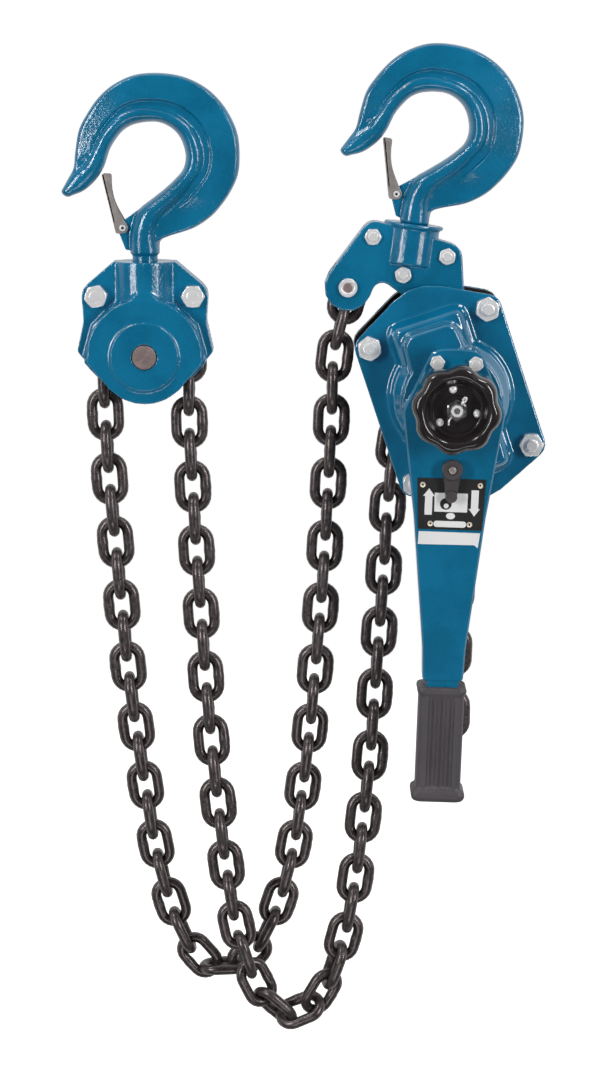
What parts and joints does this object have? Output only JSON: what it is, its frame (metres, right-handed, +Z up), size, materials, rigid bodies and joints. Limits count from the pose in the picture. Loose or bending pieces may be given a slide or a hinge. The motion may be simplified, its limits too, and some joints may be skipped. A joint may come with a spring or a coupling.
{
  "type": "lever chain hoist",
  "caption": "Hand-lever chain hoist on two chain falls, with swivel hooks and sprung latches, a load block, geared drive, load brake and ratchet lever.",
  "frame": {"origin": "saddle of the top hook, the point of the bowl that carries the hoist, midway through its thickness", "axes": "+Z up along the hanging hoist, +X to the right seen from the lever side, +Y from the lever side to the gear side"},
  "size_m": [0.4387, 0.202, 0.915],
  "materials": {
    "paint": "gloss enamel over casting",
    "black": "gloss black",
    "chain": "dark heat-treated steel",
    "zinc": "bright zinc plate",
    "steel": "machined",
    "latch": "pressed steel",
    "rubber": "moulded",
    "lining": "brake lining",
    "plate_label": "printed plate"
  },
  "bodies": {
    "suspension": {"yoke_front_half": "paint", "yoke_rear_half": "paint", "yoke_bolt_1": "zinc", "yoke_bolt_2": "zinc", "yoke_bolt_3": "zinc", "chain_anchor_pin": "zinc", "chain_anchor_run": "chain", "chain_block_wrap": "chain", "chain_hoist_run": "chain", "block_front_half": "paint", "block_rear_half": "paint", "block_bolt_left": "zinc", "block_bolt_right": "zinc", "block_axle": "black"},
    "hoist_body": {"front_side_plate": "black", "rear_side_plate": "black", "brake_cover": "paint", "gear_cover": "paint", "stay_bolt_1": "zinc", "stay_bolt_2": "zinc", "stay_bolt_3": "zinc", "stay_bolt_4": "zinc", "cover_nut_1": "zinc", "cover_nut_2": "zinc", "cover_nut_3": "zinc", "cover_nut_4": "zinc", "top_pin": "steel", "guide_roller_left": "steel", "guide_roller_right": "steel", "chain_stripper": "steel", "brake_lining_inner": "lining", "brake_lining_outer": "lining", "ratchet_disc": "steel", "chain_free_run": "chain", "chain_stop_ring": "zinc"},
    "top_hook": {"top_hook": "paint", "top_latch_pin": "zinc"},
    "top_latch": {"top_latch": "latch"},
    "load_hook": {"bottom_hook": "paint", "bottom_latch_pin": "zinc"},
    "load_latch": {"bottom_latch": "latch"},
    "block_sheave": {"block_sheave": "steel"},
    "load_sheave": {"load_sheave": "steel", "load_gear": "steel"},
    "idler_left": {"idler_gear_left": "steel"},
    "idler_right": {"idler_gear_right": "steel"},
    "drive": {"drive_shaft": "steel", "brake_hub": "steel", "change_gear": "steel", "hand_wheel": "black", "castle_nut": "zinc"},
    "lever": {"lever_front_half": "paint", "lever_rear_half": "paint", "lever_bolt_1": "zinc", "lever_bolt_2": "zinc", "lever_grip": "rubber"},
    "selector": {"selector_knob": "black", "feed_pawl": "steel"},
    "brake_pawl_left": {"brake_pawl_left": "steel"},
    "brake_pawl_right": {"brake_pawl_right": "steel"}
  },
  "joints": [
    {"name": "top_hook_swivel", "type": "hinge", "parent": "suspension", "child": "top_hook", "pos_m": [0, 0, 0], "axis": [0.1288, 0, 0.9917], "continuous": true},
    {"name": "top_latch_hinge", "type": "hinge", "parent": "top_hook", "child": "top_latch", "pos_m": [-0.03183, 0, -0.09136], "axis": [0, 1, 0], "range_deg": [0, 35], "stiffness_Nm_per_rad": 0.05, "springref_deg": -17.19},
    {"name": "load_hook_swivel", "type": "hinge", "parent": "suspension", "child": "load_hook", "pos_m": [-0.26, 0, -0.0272], "axis": [0, 0, 1], "continuous": true},
    {"name": "load_latch_hinge", "type": "hinge", "parent": "load_hook", "child": "load_latch", "pos_m": [-0.2798, 0, -0.1219], "axis": [0, 1, 0], "range_deg": [0, 35], "stiffness_Nm_per_rad": 0.05, "springref_deg": -17.19},
    {"name": "block_sheave_spin", "type": "hinge", "parent": "suspension", "child": "block_sheave", "pos_m": [-0.26, 0, -0.237], "axis": [0, 1, 0], "continuous": true},
    {"name": "body_swing", "type": "hinge", "parent": "suspension", "child": "hoist_body", "pos_m": [0.0136, 0, -0.19034], "axis": [0, 1, 0], "range_deg": [-1.2, 1.2]},
    {"name": "load_sheave_spin", "type": "hinge", "parent": "hoist_body", "child": "load_sheave", "pos_m": [0.0175, 0, -0.2725], "axis": [0, 1, 0], "continuous": true},
    {"name": "idler_left_spin", "type": "hinge", "parent": "hoist_body", "child": "idler_left", "pos_m": [-0.01474, 0, -0.28329], "axis": [0, 1, 0], "continuous": true},
    {"name": "idler_right_spin", "type": "hinge", "parent": "hoist_body", "child": "idler_right", "pos_m": [0.04974, 0, -0.26171], "axis": [0, 1, 0], "continuous": true},
    {"name": "drive_spin", "type": "hinge", "parent": "hoist_body", "child": "drive", "pos_m": [0.0175, 0, -0.2725], "axis": [0, 1, 0], "continuous": true},
    {"name": "lever_swing", "type": "hinge", "parent": "hoist_body", "child": "lever", "pos_m": [0.0175, 0, -0.2725], "axis": [0, 1, 0], "continuous": true},
    {"name": "selector_turn", "type": "hinge", "parent": "lever", "child": "selector", "pos_m": [0.01564, 0, -0.32847], "axis": [0, 1, 0], "range_deg": [-27, 27]},
    {"name": "brake_pawl_right_lift", "type": "hinge", "parent": "hoist_body", "child": "brake_pawl_right", "pos_m": [0.05052, 0, -0.24669], "axis": [0, 1, 0], "range_deg": [-12, 0], "stiffness_Nm_per_rad": 0.02, "springref_deg": 17.19},
    {"name": "brake_pawl_left_lift", "type": "hinge", "parent": "hoist_body", "child": "brake_pawl_left", "pos_m": [-0.01552, 0, -0.29831], "axis": [0, 1, 0], "range_deg": [-12, 0], "stiffness_Nm_per_rad": 0.02, "springref_deg": 17.19}
  ],
  "couplings": [
    {"joint": "idler_left_spin", "follows": "load_sheave_spin", "ratio": -2.4},
    {"joint": "idler_right_spin", "follows": "load_sheave_spin", "ratio": -2.4},
    {"joint": "drive_spin", "follows": "load_sheave_spin", "ratio": 5.76}
  ]
}
